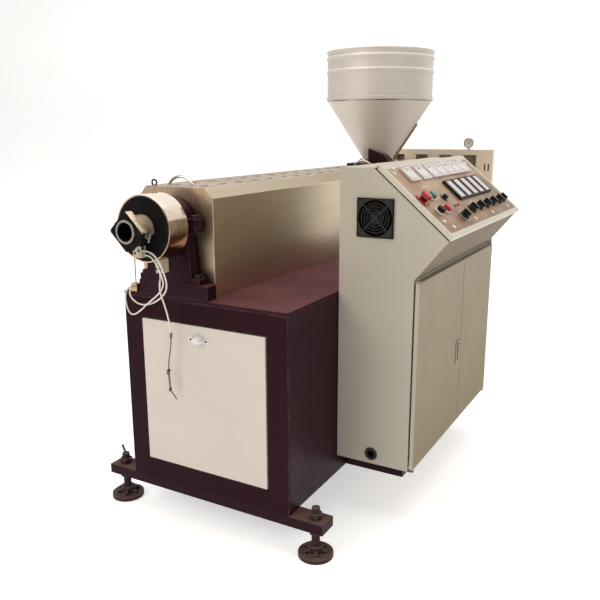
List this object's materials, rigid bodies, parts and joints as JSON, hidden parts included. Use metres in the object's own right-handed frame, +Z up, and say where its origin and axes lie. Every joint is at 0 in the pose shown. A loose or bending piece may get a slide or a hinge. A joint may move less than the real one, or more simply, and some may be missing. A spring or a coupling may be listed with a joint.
{
  "type": "plastic extruder",
  "caption": "Floor-standing single-screw plastic extruder: heated barrel under a hood, round hopper, side control desk with doors, box base on levelling feet.",
  "frame": {"origin": "middle of the bounding box at floor level", "axes": "+Y from the die end to the drive end along the barrel, +Z up, control desk on the +X side"},
  "size_m": [1.0958, 2.415, 1.605],
  "materials": {
    "purple_paint": "gloss",
    "cream_paint": "satin",
    "hood_steel": "brushed",
    "band_steel": "polished",
    "black_iron": "matte",
    "machined_steel": "machined",
    "hopper_steel": "satin",
    "foot_zinc": "zinc plated",
    "bronze_plate": "anodised",
    "black_plastic": "matte",
    "meter_plastic": "gloss",
    "red_plastic": "gloss",
    "button_plastic": "gloss",
    "seal_rubber": "matte",
    "ceramic": "glazed",
    "terminal_brass": "dull",
    "lead_sleeve": "woven",
    "dark_wire": "matte",
    "chrome_handle": "polished"
  },
  "bodies": {
    "machine": {"base_front_wall": "purple_paint", "base_side_walls": "purple_paint", "base_rear_wall": "purple_paint", "base_top_plate": "purple_paint", "crossbars": "purple_paint", "barrel_pedestal": "purple_paint", "barrel_stand": "purple_paint", "barrel_clamp_cap": "purple_paint", "feed_throat": "purple_paint", "drain_chute": "purple_paint", "gearbox_housing": "purple_paint", "gearbox_cover": "purple_paint", "cabinet_carrier": "purple_paint", "levelling_screws": "foot_zinc", "foot_pads": "foot_zinc", "door_hinges": "foot_zinc", "lid_hinge": "foot_zinc", "access_panel": "cream_paint", "belt_guard": "cream_paint", "cabinet_front_wall": "cream_paint", "cabinet_rear_wall": "cream_paint", "cabinet_back_wall": "cream_paint", "cabinet_floor": "cream_paint", "cabinet_top_plate": "cream_paint", "desk_underside": "cream_paint", "access_panel_pull": "chrome_handle", "hood_handles": "chrome_handle", "barrel": "machined_steel", "die_adaptor": "machined_steel", "pressure_gauge": "machined_steel", "die_flange": "black_iron", "heater_band": "band_steel", "hood_end_plates": "hood_steel", "hood_cover": "hood_steel", "hopper_cone": "hopper_steel", "hopper_wall": "hopper_steel", "hopper_sight_strip": "hopper_steel", "fan_guard": "black_plastic", "fan_housing": "black_plastic", "cable_gland": "seal_rubber", "heater_plugs": "ceramic", "corner_terminal": "terminal_brass", "upper_heater_lead": "lead_sleeve", "lower_heater_lead": "lead_sleeve", "sensor_lead": "lead_sleeve", "sensor_probe": "dark_wire", "earth_wire": "dark_wire"},
    "front_door": {"cabinet_door_front": "cream_paint", "door_pull": "black_plastic"},
    "rear_door": {"cabinet_door_rear": "cream_paint"},
    "desk_lid": {"lid_frame": "cream_paint", "lid_gasket": "seal_rubber", "control_plate": "bronze_plate", "panel_meters": "meter_plastic", "temperature_controls": "black_plastic", "selector_knobs": "black_plastic", "stop_button": "red_plastic", "push_buttons": "button_plastic"},
    "fan": {"fan_rotor": "black_plastic"}
  },
  "joints": [
    {"name": "front_door_hinge", "type": "hinge", "parent": "machine", "child": "front_door", "pos_m": [0.43863, -0.7105, 0.5], "axis": [0, 0, -1], "range_deg": [0, 110]},
    {"name": "rear_door_hinge", "type": "hinge", "parent": "machine", "child": "rear_door", "pos_m": [0.43863, 0.1205, 0.5], "axis": [0, 0, 1], "range_deg": [0, 110]},
    {"name": "desk_lid_hinge", "type": "hinge", "parent": "machine", "child": "desk_lid", "pos_m": [0.29585, -0.295, 1.14478], "axis": [0, -1, 0], "range_deg": [0, 70]},
    {"name": "fan_spin", "type": "hinge", "parent": "machine", "child": "fan", "pos_m": [0.29813, -0.6875, 0.992], "axis": [0, 1, 0], "continuous": true}
  ]
}
